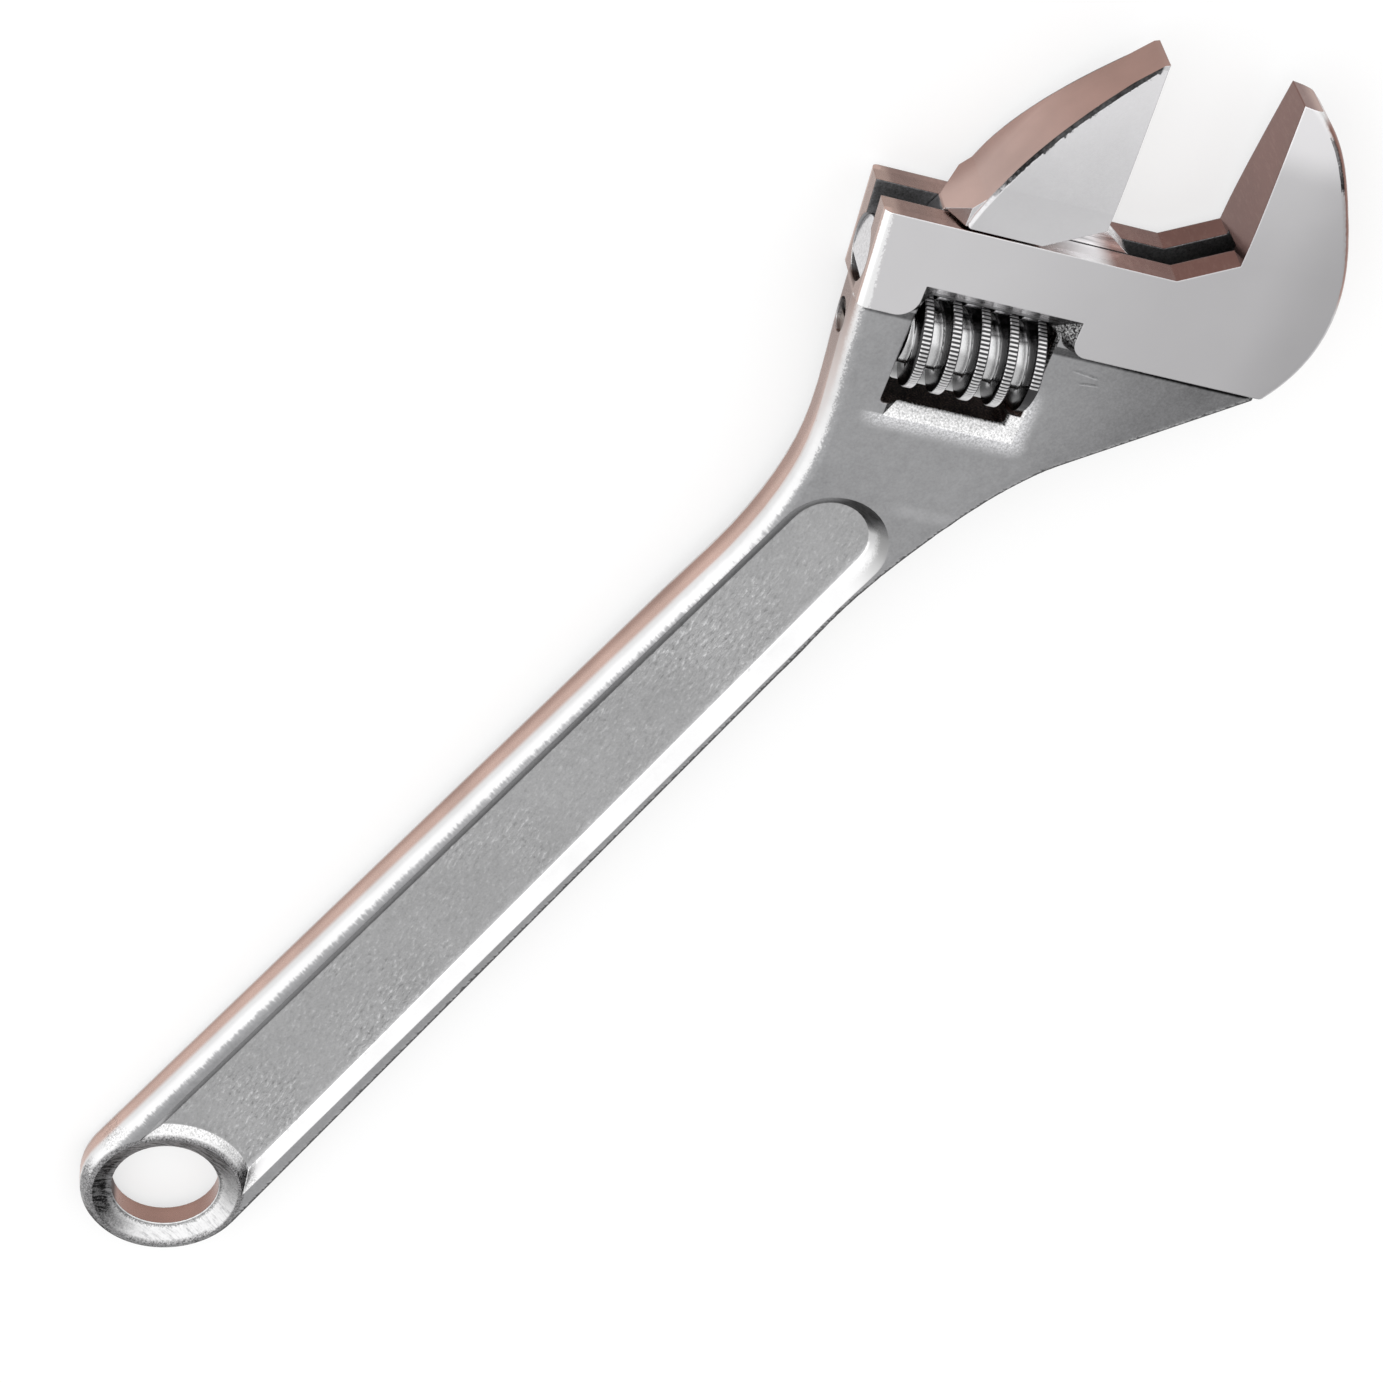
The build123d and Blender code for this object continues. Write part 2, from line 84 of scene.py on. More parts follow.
class Value:
    """One number or vector of a node tree. Its operators add Math nodes."""

    def __init__(self, nodes, socket):
        self.nodes = nodes
        self.socket = socket

    def math(self, operation, *others):
        return self.nodes.add("ShaderNodeMath", {"operation": operation}, [self, *others])

    def __add__(self, other):
        return self.math("ADD", other)

    __radd__ = __add__

    def __sub__(self, other):
        return self.math("SUBTRACT", other)

    def __rsub__(self, other):
        return self.nodes.add("ShaderNodeMath", {"operation": "SUBTRACT"}, [other, self])

    def __mul__(self, other):
        return self.math("MULTIPLY", other)

    __rmul__ = __mul__

    def __truediv__(self, other):
        return self.math("DIVIDE", other)

    def __abs__(self):
        return self.math("ABSOLUTE")

    def larger(self, other):
        return self.math("MAXIMUM", other)

    def rise(self, low, high):
        """0 below low, 1 above high and a smooth step between them."""
        limits = {"Value": self, "From Min": low, "From Max": high}
        return self.nodes.add("ShaderNodeMapRange", {"interpolation_type": "SMOOTHSTEP"}, limits)

    def fall(self, low, high):
        """1 below low, 0 above high and a smooth step between them."""
        return 1 - self.rise(low, high)

    def within(self, start, end):
        """1 between two smooth steps and 0 outside them. Each step is given by its two ends."""
        return self.rise(*start) * self.fall(*end)

    def part(self, axis):
        """One coordinate of a vector."""
        return self.nodes.add("ShaderNodeSeparateXYZ", {}, [self], axis)

    def along(self, direction):
        """How far a vector reaches along a direction."""
        dot = {"operation": "DOT_PRODUCT"}
        return self.nodes.add("ShaderNodeVectorMath", dot, [self, tuple(direction)], "Value")

    def scaled(self, factor):
        """A colour or a vector times a number."""
        return self.nodes.add("ShaderNodeVectorMath", {"operation": "SCALE"}, {0: self, "Scale": factor})

    def stretched(self, factors):
        """A vector with each coordinate times its factor."""
        return self.nodes.add("ShaderNodeVectorMath", {"operation": "MULTIPLY"}, [self, factors])


class Nodes:
    """A node tree that is built one node at a time. The numbers are places of the Mix node's sockets."""

    mix_factor = 0
    first_colour = 6
    second_colour = 7
    mixed_colour = 2

    def __init__(self, tree):
        self.tree = tree

    def add(self, kind, settings=None, sockets=None, output=0):
        """A new node, with its settings first and then the values or links of its sockets."""
        node = self.tree.nodes.new(kind)
        for name, value in (settings or {}).items():
            setattr(node, name, value)
        pairs = sockets.items() if isinstance(sockets, dict) else enumerate(sockets or [])
        for key, value in pairs:
            if isinstance(value, Value):
                self.tree.links.new(value.socket, node.inputs[key])
            else:
                node.inputs[key].default_value = value
        return Value(self, node.outputs[output]) if len(node.outputs) else node

    def mix(self, factor, first, second):
        """A colour between two colours."""
        pair = [colour + (1.0,) if isinstance(colour, tuple) else colour for colour in (first, second)]
        sockets = {self.mix_factor: factor, self.first_colour: pair[0], self.second_colour: pair[1]}
        return self.add("ShaderNodeMix", {"data_type": "RGBA"}, sockets, self.mixed_colour)

    def noise(self, point, scale, detail=2.0, roughness=0.5):
        """Soft noise, about one blob for each 1 / scale."""
        sockets = {"Vector": point, "Scale": scale, "Detail": detail, "Roughness": roughness}
        return self.add("ShaderNodeTexNoise", {}, sockets)

    def specks(self, point, scale, size):
        """1 in a scatter of small round spots and 0 between them."""
        sockets = {"Vector": point, "Scale": scale}
        return self.add("ShaderNodeTexVoronoi", {}, sockets, "Distance").fall(size / 2, size)


def new_finish(name):
    """An empty material and the nodes of its tree."""
    material = bpy.data.materials.new(name)
    material.use_nodes = True
    material.node_tree.nodes.clear()
    return material, Nodes(material.node_tree)


def metal(nodes, colour, roughness, relief, edge_round):
    """Plated metal with rounded edges, from a colour, a roughness and a relief in mm."""
    edges = nodes.add("ShaderNodeBevel", {"samples": edge_samples}, {"Radius": edge_round})
    bump = {"Strength": 1.0, "Distance": 1 / mm_per_metre, "Height": relief, "Normal": edges}
    look = {
        "Base Color": colour,
        "Metallic": 1.0,
        "Roughness": roughness,
        "Normal": nodes.add("ShaderNodeBump", {}, bump),
    }
    surface = nodes.add("ShaderNodeBsdfPrincipled", {}, look)
    nodes.add("ShaderNodeOutputMaterial", {}, {"Surface": surface})


def point_in_mm(nodes):
    """A point of the piece, in millimetres of the frame."""
    return nodes.add("ShaderNodeTexCoord", {}, {}, "Object").scaled(mm_per_metre)


def facing(nodes):
    """Which way a face of the piece points."""
    return nodes.add("ShaderNodeTexCoord", {}, {}, "Normal")


def reach(point, origin, direction):
    """How far a point in mm lies from an origin of the frame along a direction."""
    return point.along(direction) - origin.dot(direction) * mm_per_metre


# Places on the body in mm: handle is along X from the hang hole, s along the slide and t along the jaws,
# both from the throat. A pair of numbers is a smooth step. A turn is a step in how much a face points out
# of the broad side, 1 on the flat and 0 on a flank, and a way is a direction in X and Y.
lamp_side = (0.55, 0.835, 0.0)
comb_fineness = (1.5, 0.3, 0.3)
wrinkle_angle = 0.26
wrinkle_size = (1.9, 0.85, 1.0)
lamp_facing_from = (-0.10, 0.15)
flat_turn = (0.82, 0.95)
flank_turn = (0.02, 0.34)
sunk_turn = (0.90, 0.97)
far_edge_turn = (0.05, 0.75)
shaded_edge_turn = (0.76, 0.90)

hole_radius = 12.2
countersink_rim = (16.4, 17.0)
sunk_shade_from = (12.8, 14.2)
sunk_grit_from = (12.8, 14.6)
ring_crown = ((16.1, 16.6), (17.5, 18.1))
ring_foot = ((17.8, 18.4), (20.6, 21.6))
ring_foot_from = (0.0, 5.0)
end_rim_from = (15.2, 16.2)
end_rim_until = (-7.0, -1.0)
end_rim_turn = (0.15, 0.40)
shaded_way = (-0.55, 0.83)
lit_way = (-0.50, -0.86)

panel_floor = 3.0
panel_from = 12.6
panel_to = 246.0
panel_apex = 234.4
panel_half_width = 13.2
panel_start_half = 12.2
panel_taper = 0.0155
thickening = 0.00532
wall_foot_dark = (2.6, 4.4)
wall_foot_light = (-1.5, 0.0)
wall_inward = (-0.5, -0.2)
wall_end_height = (4.0, 5.4)
wall_end_inward = (-0.3, -0.1)

neck_swell = (215.0, 270.0)
neck_swell_height = 3.0
head_swell = (250.0, 295.0)
head_swell_height = 4.0
neck_rim_from = (236.0, 284.0)
neck_rim_until = (-62.5, -61.0)
neck_rim_turn = (0.52, 0.88)
neck_top = (0.9, 3.1)
neck_low = (-3.2, 0.0)
neck_tone = (215.0, 285.0)
neck_shade_s = (-34.0, 6.0)
neck_shade_t = (-70.0, -50.0)
crease_t = -66.0
crease_half = (0.3, 2.4)
crease_s = ((-48.0, -43.0), (-33.0, -28.0))

pad_foot = -21.2
pad_step = 7.35
pad_rear = -72.2
rear_lean = 0.124
rear_edge = -68.0
rear_rim_turn = (0.20, 0.50)
rear_dark_s = (-66.0, -56.0)
rear_dark_t = (-45.0, -25.0)
pad_corner_s = ((-64.0, -62.5), (-57.0, -55.5))
rail_foot = (-14.0, -13.0)
slot_half = 3.25
slot_top = 7.3
slot_front = 2.6
slid_s = ((-47.0, -44.0), (-28.0, -23.0))
slid_t = ((-1.0, -0.3), (0.3, 1.0))

window_rear = -57.6
window_front = -30.2
window_bottom = -42.4
window_top = -16.8
window_wall_height = 6.4
bevel_front = -27.7
bevel_bottom = -45.2
bevel_dark_t = (-34.0, -26.0)
bevel_turn = (0.80, 0.92)
lip_until = (-38.0, -30.0)
long_dent_s = ((-23.0, -21.0), (-17.5, -16.0))
long_dent_t = -28.2
long_dent_slope = -0.12
long_dent_half = (0.1, 0.5)
short_dent_s = ((-20.5, -19.0), (-17.0, -15.5))
short_dent_t = -26.2
short_dent_slope = 0.10
short_dent_half = (0.1, 0.4)

jaw_rim_s = (4.0, 7.0)
jaw_rim_t = (0.0, 6.0)
jaw_rim_turn = (0.80, 0.96)
throat_deepens_s = (-40.0, -12.0)
throat_until_s = (1.0, 5.0)
throat_from_t = (-1.5, -0.5)
jaw_back_s = (2.0, 7.0)
jaw_back_t = (-30.0, 28.0)
jaw_back_tone_s = (3.0, 8.0)
tip_s = (2.0, 4.0)
tip_t = ((22.0, 27.0), (35.0, 37.0))
tip_turn = ((0.72, 0.86), (0.955, 0.982))
tip_light_t = (25.0, 33.0)
jaw_dim_s = (5.0, 20.0)
pad_light_s = (-66.0, -20.0)
pad_dim_s = (-60.0, 0.0)


class BodySkin:
    """The body's surface: where a point of it lies, its noises and the zones of its finish."""

    def __init__(self, nodes):
        point = point_in_mm(nodes)
        self.handle = point.part("X")
        self.side = point.part("Y")
        self.z = point.part("Z")
        self.height = abs(self.z)
        self.ring = (self.handle * self.handle + self.side * self.side).math("SQRT")
        self.s = reach(point, throat, slide)
        self.t = reach(point, throat, along_jaw)
        normal = facing(nodes)
        self.up = abs(normal.part("Z"))
        self.inward = normal.part("Y") * self.side.math("SIGN")
        # Faces turned to the lamp side, which get painted highlights on their edges.
        self.lamp_facing = normal.along(lamp_side).rise(*lamp_facing_from)
        self.add_noises(nodes, point)
        self.mark_plain_faces()
        self.mark_head()
        self.mark_window()
        self.mark_panel()
        self.mark_ring()
        self.mark_flanks()

    def add_noises(self, nodes, point):
        """The plating's unevenness, from wide clouds to fine grit. Each is 0 on average, but for patches."""
        self.clouds = nodes.noise(point, scale=0.06, detail=3.0) - 0.5
        self.blotches = nodes.noise(point, scale=0.34, detail=4.0, roughness=0.6) - 0.5
        self.grain = nodes.noise(point, scale=1.7, detail=3.0, roughness=0.65) - 0.5
        self.grit = nodes.noise(point, scale=2.4, detail=3.0, roughness=0.75) - 0.5
        combed = point.stretched(comb_fineness)
        self.comb = nodes.noise(combed, scale=1.0, detail=3.0, roughness=0.7) - 0.5
        lay = {"Vector": point, "Rotation": (0.0, 0.0, wrinkle_angle), "Scale": wrinkle_size}
        lay = nodes.add("ShaderNodeMapping", {"vector_type": "TEXTURE"}, lay)
        self.wrinkles = nodes.noise(lay, scale=1.0, detail=4.0, roughness=0.60) - 0.5
        self.patches = nodes.noise(point, scale=0.045).rise(0.40, 0.68) * 0.65 + 0.32

    def mark_plain_faces(self):
        """The broad flat faces, with ragged borders where they turn over into their edges."""
        self.below_head = self.t.fall(pad_foot - 1.0, pad_foot)
        on_handle = self.handle.fall(panel_to - 30.0, panel_to)
        ragged = self.comb * on_handle * 0.32 + self.grit * self.below_head * (1 - on_handle) * 0.45
        self.flat = (self.up + self.grain * 0.12 + ragged).rise(*flat_turn)

    def mark_head(self):
        """The polished pad, the step at its foot and the slot of the slide, with painted shade below the step, in
        a corner and in the slot, and a painted highlight along the pad's rear edge.
        """
        self.on_pad = self.t.rise(pad_foot - 0.1, pad_foot + 0.1)
        self.on_pad = self.on_pad * self.height.rise(pad_step - 0.2, pad_step + 0.2)
        self.polished = self.on_pad.larger(self.t.rise(0.0, 1.0))
        self.forged = self.flat * (1 - self.polished)
        # A painted shadow line on the neck at the foot of the pad's step.
        self.below_pad = self.t.within((pad_foot - 2.2, pad_foot - 1.5), (pad_foot - 0.1, pad_foot + 0.1))
        self.below_pad = self.below_pad * self.flat
        # Painted shade in a corner at the pad's foot.
        self.pad_corner = self.s.within(*pad_corner_s) * self.t.within((pad_foot - 0.6, pad_foot), rail_foot)
        self.pad_corner = self.pad_corner * self.up.fall(*sunk_turn)
        # A painted highlight along the pad's rear edge.
        from_rear = self.s + self.t * rear_lean + self.grit * 2.4
        self.rear_glow = from_rear.fall(pad_rear + 1.4, pad_rear + 2.2) * self.on_pad
        # The slot of the slide, painted dark as shade.
        in_slot = self.height.fall(slot_half, slot_half + 0.05) * self.s.fall(slot_front, slot_front + 0.1)
        self.slot = in_slot * self.t.within((pad_foot, pad_foot + 1.0), (slot_top, slot_top + 0.1))

    def mark_window(self):
        """The worm's window: its walls, painted dark as shade, its bevel, the lip round it with a painted
        highlight, and two dents beside it.
        """
        across_s = self.s.within((window_rear - 0.5, window_rear), (window_front, window_front + 0.5))
        across_t = self.t.within((window_bottom - 0.5, window_bottom), (window_top, window_top + 0.5))
        low = self.height.fall(window_wall_height - 0.4, window_wall_height + 0.4)
        self.window = across_s * across_t * low
        below = self.t.within((bevel_bottom - 4.0, bevel_bottom), (bevel_bottom, bevel_bottom + 0.5))
        lip_ends = ((window_rear - 4.0, window_rear + 2.0), (bevel_front, bevel_front + 4.0))
        below = below * self.s.within(*lip_ends)
        beside = self.s.within((bevel_front - 0.5, bevel_front), (bevel_front, bevel_front + 3.5))
        beside = beside * self.t.within((bevel_bottom - 3.0, bevel_bottom), lip_until)
        # A painted highlight on the lip below and beside the window's bevel.
        self.lip = below.larger(beside) * self.flat * (1 + self.grit * 4.5)
        bevel_end = (bevel_front + 5.0, bevel_front + 6.5)
        bevel = self.s.within((window_rear - 2.0, window_rear - 1.0), bevel_end)
        bevel = bevel * self.t.within((bevel_bottom - 1.5, bevel_bottom - 0.5), rail_foot)
        self.bevel = bevel * self.up.fall(*bevel_turn)
        self.bevel_shade = self.s.rise(window_front - 1.0, window_front + 0.5) * self.t.rise(*bevel_dark_t)
        long_dent = abs(self.t - self.s * long_dent_slope - long_dent_t).fall(*long_dent_half)
        short_dent = abs(self.t - self.s * short_dent_slope - short_dent_t).fall(*short_dent_half)
        short_dent = short_dent * self.s.within(*short_dent_s)
        self.dents = (long_dent * self.s.within(*long_dent_s)).larger(short_dent)

    def mark_panel(self):
        """The sunk panel's floor, its walls with painted shade and a painted highlight by the lit wall's foot, and
        painted shade on the edges turned away from the lamp side.
        """
        floor = self.height.fall(panel_floor + 0.1, panel_floor + 0.5)
        floor = floor * abs(self.side).fall(panel_half_width - 0.4, panel_half_width)
        self.panel = floor * self.handle.within((panel_from, panel_from + 0.4), (panel_to - 0.4, panel_to))
        along_panel = self.handle.within((panel_from - 2.0, panel_from), (panel_to, panel_to + 3.0))
        # The panel's walls turned away from the lamp side get painted shade, deeper at their foot; the floor by
        # the lit wall's foot gets a painted highlight; and the lit wall is painted darker near the panel's end.
        self.wall = self.inward.fall(*wall_inward) * along_panel * (1 - self.lamp_facing)
        self.wall_low = (self.height - self.handle * thickening + self.comb * 0.6).fall(*wall_foot_dark)
        past_foot = self.handle * panel_taper - panel_start_half - self.side
        self.wall_foot = (past_foot + self.grit * 1.6).rise(*wall_foot_light) * self.panel
        wall_end = self.handle.rise(panel_apex - 16.0, panel_apex - 3.0)
        wall_end = wall_end * (self.height + self.grit * 2.0).rise(*wall_end_height)
        self.wall_end = wall_end * self.inward.fall(*wall_end_inward) * self.lamp_facing * along_panel
        # Painted shade, and more roughness, on the edges turned away from the lamp side.
        shaded_edge = (1 - self.lamp_facing) * (self.up + self.comb * 0.45).fall(*shaded_edge_turn)
        self.shaded_edge = shaded_edge * self.below_head * (1 - self.wall)

    def towards(self, way):
        """How much a place round the hang hole lies towards a direction, from -1 to 1."""
        return (self.handle * way[0] + self.side * way[1]) / self.ring

    def mark_ring(self):
        """The hang hole, its countersink, painted darker as shade on the side away from the light, and the gritty
        ring that stands round it.
        """
        ring = self.ring
        self.hole = ring.fall(hole_radius + 0.1, hole_radius + 0.3)
        countersink = ring.within((hole_radius, hole_radius + 0.3), countersink_rim)
        countersink = countersink * self.up.fall(*sunk_turn)
        shaded_side = self.towards(shaded_way).rise(0.55, 0.95)
        self.sunk_shade = countersink * shaded_side * ring.rise(*sunk_shade_from)
        lit_side = self.towards(lit_way)
        # Grit in the countersink, darker on the side away from the light as painted shade.
        self.sunk_grit_and_shade = countersink * (0.8 - lit_side.rise(0.3, 0.8) * 0.7)
        self.sunk_grit_and_shade = self.sunk_grit_and_shade * (0.55 + ring.rise(*sunk_grit_from) * 0.45)
        end_rim = ring.rise(*end_rim_from) * (self.handle + self.grit * 6.0).fall(*end_rim_until)
        end_rim = end_rim * self.up.rise(*end_rim_turn)
        self.gritty = end_rim.larger(ring.within(*ring_crown)).larger(self.sunk_grit_and_shade) * (1 - self.hole)
        self.ring_slope = ring.within(*ring_foot) * self.handle.rise(*ring_foot_from) * (1 - self.flat)
        hole_lip = ring.rise(hole_radius + 0.1, hole_radius + 0.3) * lit_side.rise(-0.5, 0.2)
        self.hole_lip = hole_lip * (ring + self.grit * 2.4).fall(hole_radius + 0.4, hole_radius + 1.0)

    def mark_flanks(self):
        """The narrow sides and the edges that turn into them, where a brown reflection is painted."""
        swell = self.handle.rise(*neck_swell) * neck_swell_height
        swell = swell + self.handle.rise(*head_swell) * head_swell_height
        self.level = self.z - self.handle * thickening - swell
        # The painted brown reflection also covers the neck's rim turned to the lamp side and the edges turned away
        # from it.
        neck_rim = self.below_head * self.lamp_facing * self.handle.rise(*neck_rim_from)
        neck_rim = neck_rim * (self.up + self.grit * 0.3).fall(*neck_rim_turn) * self.s.fall(*neck_rim_until)
        far_edge = (1 - self.lamp_facing) * self.up.fall(*far_edge_turn) * 0.75
        rear_rim = self.s.fall(rear_edge, rear_edge + 1.0) * self.t.rise(pad_foot - 0.5, pad_foot)
        rear_rim = rear_rim * (self.up + self.grit * 0.3).fall(*rear_rim_turn)
        jaw_rim = self.s.rise(*jaw_rim_s) * self.t.rise(*jaw_rim_t)
        jaw_rim = jaw_rim * (self.up + self.grain * 0.10).fall(*jaw_rim_turn)
        flank = self.up.fall(*flank_turn)
        for edge in (neck_rim, far_edge, rear_rim, jaw_rim):
            flank = flank.larger(edge)
        # The lit top of the neck is kept free of the painted brown reflection.
        lit_top = self.below_head * self.lamp_facing * (1 - self.hole) * self.level.rise(*neck_top)
        slid = self.s.within(*slid_s) * self.t.within(*slid_t)
        self.flank = flank * (1 - lit_top * 0.9) * (1 - slid * 0.92)


def body_colour(nodes, skin):
    """The plating's colour: dull or polished, with a painted highlight on edges turned to the lamp side, dark with
    grit, and a painted brown reflection on the flanks.
    """
    colour = nodes.mix(skin.polished, plate_grain, plate_polished)
    colour = nodes.mix(skin.panel, colour, plate_panel)
    # Painted highlight on edges turned to the lamp side and along the pad's rear edge.
    bright = ((1 - skin.flat) * skin.lamp_facing).larger(skin.rear_glow)
    colour = nodes.mix(bright, colour, plate_highlight)
    colour = nodes.mix(skin.gritty * 0.9, colour, plate_gritty)
    # Painted shade: the brown reflection is deeper in the throat, on the fixed jaw's outer back and in the hang
    # hole.
    throat_shade = skin.t.rise(*throat_from_t) * (0.62 + skin.s.rise(*throat_deepens_s) * 0.38 + skin.comb * 0.5)
    throat_shade = throat_shade * skin.s.within((rear_edge - 2.0, rear_edge), throat_until_s)
    jaw_back = skin.s.rise(*jaw_back_s) * skin.t.rise(*jaw_back_t) * 0.85
    brown = nodes.mix(throat_shade.larger(jaw_back).larger(skin.hole * 0.62), reflected_flank_pale, reflected_flank_deep)
    # The painted brown reflection is darker low on the flanks, towards the neck and at the head's rear, and
    # lighter on the fixed jaw's back.
    brown = nodes.mix(skin.below_head * skin.level.fall(*neck_low) * 0.75, brown, reflected_flank_low)
    at_rear = skin.s.fall(*rear_dark_s) * skin.t.rise(*rear_dark_t)
    tone = 0.94 - skin.handle.rise(*neck_tone) * 0.15 - at_rear * 0.25 + skin.s.rise(*jaw_back_tone_s) * 0.17
    return nodes.mix(skin.flank * (1 - skin.panel), colour, brown.scaled(tone))


def body_shade(skin):
    """How much lighter or darker than its colour each place is, with 1 for neither: random tone and grit, with
    painted light and shade.
    """
    grit = skin.grit
    # The polished faces are painted a little dimmer from the pad's rear towards the throat.
    shade = 1.05 + skin.polished * (0.08 - skin.s.rise(*pad_dim_s) * 0.18)
    shade = shade + skin.clouds * (0.26 - skin.polished * 0.18 + skin.flank * 0.35)
    shade = shade + skin.forged * (skin.blotches * 0.25 + skin.grain * 0.45)

    # The panel's ripples are random tone; its walls get painted light and shade, and the edges turned away from
    # the lamp side painted shade.
    ripples = skin.wrinkles.rise(0.02, 0.24) * 0.8 - skin.wrinkles.fall(-0.20, -0.04) * 0.4
    shade = shade + skin.panel * ripples * skin.patches + skin.wall_foot * 0.38 - skin.wall_end * 0.50
    shade = shade - skin.wall * (0.10 + skin.wall_low * 0.52 + grit * 1.1)
    shade = shade - skin.shaded_edge * (0.88 + skin.comb * 0.5)

    shade = shade + (skin.gritty * 5.2 - skin.sunk_grit_and_shade * 3.0) * grit + skin.ring_slope * (grit * 2.4 - 0.08)
    shade = shade - skin.sunk_shade * 0.58 - skin.hole_lip * 0.65

    # Painted shade on part of the neck, a painted highlight along a crease of the neck, and the dents.
    neck_shade = skin.s.rise(*neck_shade_s) * skin.below_head * skin.t.rise(*neck_shade_t)
    crease_highlight = abs(skin.t - crease_t).fall(*crease_half) * skin.s.within(*crease_s)
    shade = shade + skin.forged * (crease_highlight * 0.18 - neck_shade * 0.46 - skin.dents * (0.18 + grit * 0.9))
    # A painted highlight on the window's lip, and speckle with painted shade on its bevel.
    shade = shade + skin.lip * 1.05 + skin.bevel * (grit * 2.6 - 0.05 - skin.bevel_shade * 0.80)
    # Painted shadow below the pad's step and painted shade in the slot and the window.
    shade = shade - skin.below_pad * 0.72 - skin.slot * (0.55 + grit) - skin.window * 0.90

    # A ragged dark line on the fixed jaw's rounded rim near its tip, a painted dark reflection, and painted shade
    # in the pad's corner.
    tip = skin.s.rise(*tip_s) * skin.t.within(*tip_t) * skin.up.within(*tip_turn)
    shade = shade - (tip + grit * 1.2).rise(0.75, 0.95) * tip * 0.85 - skin.pad_corner * 0.78
    # Painted light on the polished faces: brighter at the jaw's tip and the pad's rear and dimmer towards the
    # jaw's outer side, with the painted highlight along the pad's rear edge.
    soft_light = skin.t.rise(*tip_light_t) * 0.34 - skin.s.rise(*jaw_dim_s) * 0.16
    soft_light = soft_light + skin.s.fall(*pad_light_s) * 0.07
    shade = shade + skin.polished * skin.flat * soft_light + skin.rear_glow * 0.40
    return shade.larger(0.02)


def body_finish():
    material, nodes = new_finish("forged_plate")
    skin = BodySkin(nodes)
    colour = body_colour(nodes, skin).scaled(body_shade(skin))
    rough = 0.36 + skin.grain * (0.20 - skin.polished * 0.18) - skin.polished * 0.11 - skin.flank * 0.08
    rough = rough + skin.slot.larger(skin.window) * 0.15 + skin.shaded_edge * 0.25
    relief = skin.forged * (skin.grain * 0.030 + skin.blotches * 0.04 - skin.dents * 0.12)
    relief = relief + skin.wrinkles * skin.panel * skin.patches * 0.44 + skin.gritty * skin.grit * 0.12
    metal(nodes, colour, rough, relief, body_edge_round)
    return material


def dress(node, material):
    """Puts a material on a piece of the frame."""
    mesh = frame["nodes"][node].data
    mesh.materials.clear()
    mesh.materials.append(material)


dress("wrench_body", body_finish())


# Sliding jaw: a forging of the same steel, ground on its faces, with a milled web and a turned guide that
# run in the head. A rack is cut under the guide.
jaw_plate = (0.675, 0.668, 0.680)
reflected_back_pale = (0.535, 0.380, 0.336)
reflected_back_deep = (0.336, 0.205, 0.172)
web_half = 3.1
web_top = 6.6
web_rear = -41.0
milled_below = 0.2
jaw_nose = -28.8
back_arc_s = 41.84
back_arc_t = -34.62
back_arc_radius = 104.03
dark_band_wide_below = (12.0, 22.0)
dark_edge_from = (5.0, 14.0)
back_deepens_t = (6.0, 36.0)
back_far_half = (-8.0, -1.0)
back_turn = (0.08, 0.50)
face_turn = (0.9, 0.98)
rim_turn = ((0.15, 0.35), (0.95, 0.985))
ragged_rim_turn = (0.93, 0.985)
dark_edge_turn = (0.10, 0.30)
dark_band_width = (0.50, 0.95)
cut_along = 0.10
cut_across = 1.4
jaw_edge_round = 0.00022


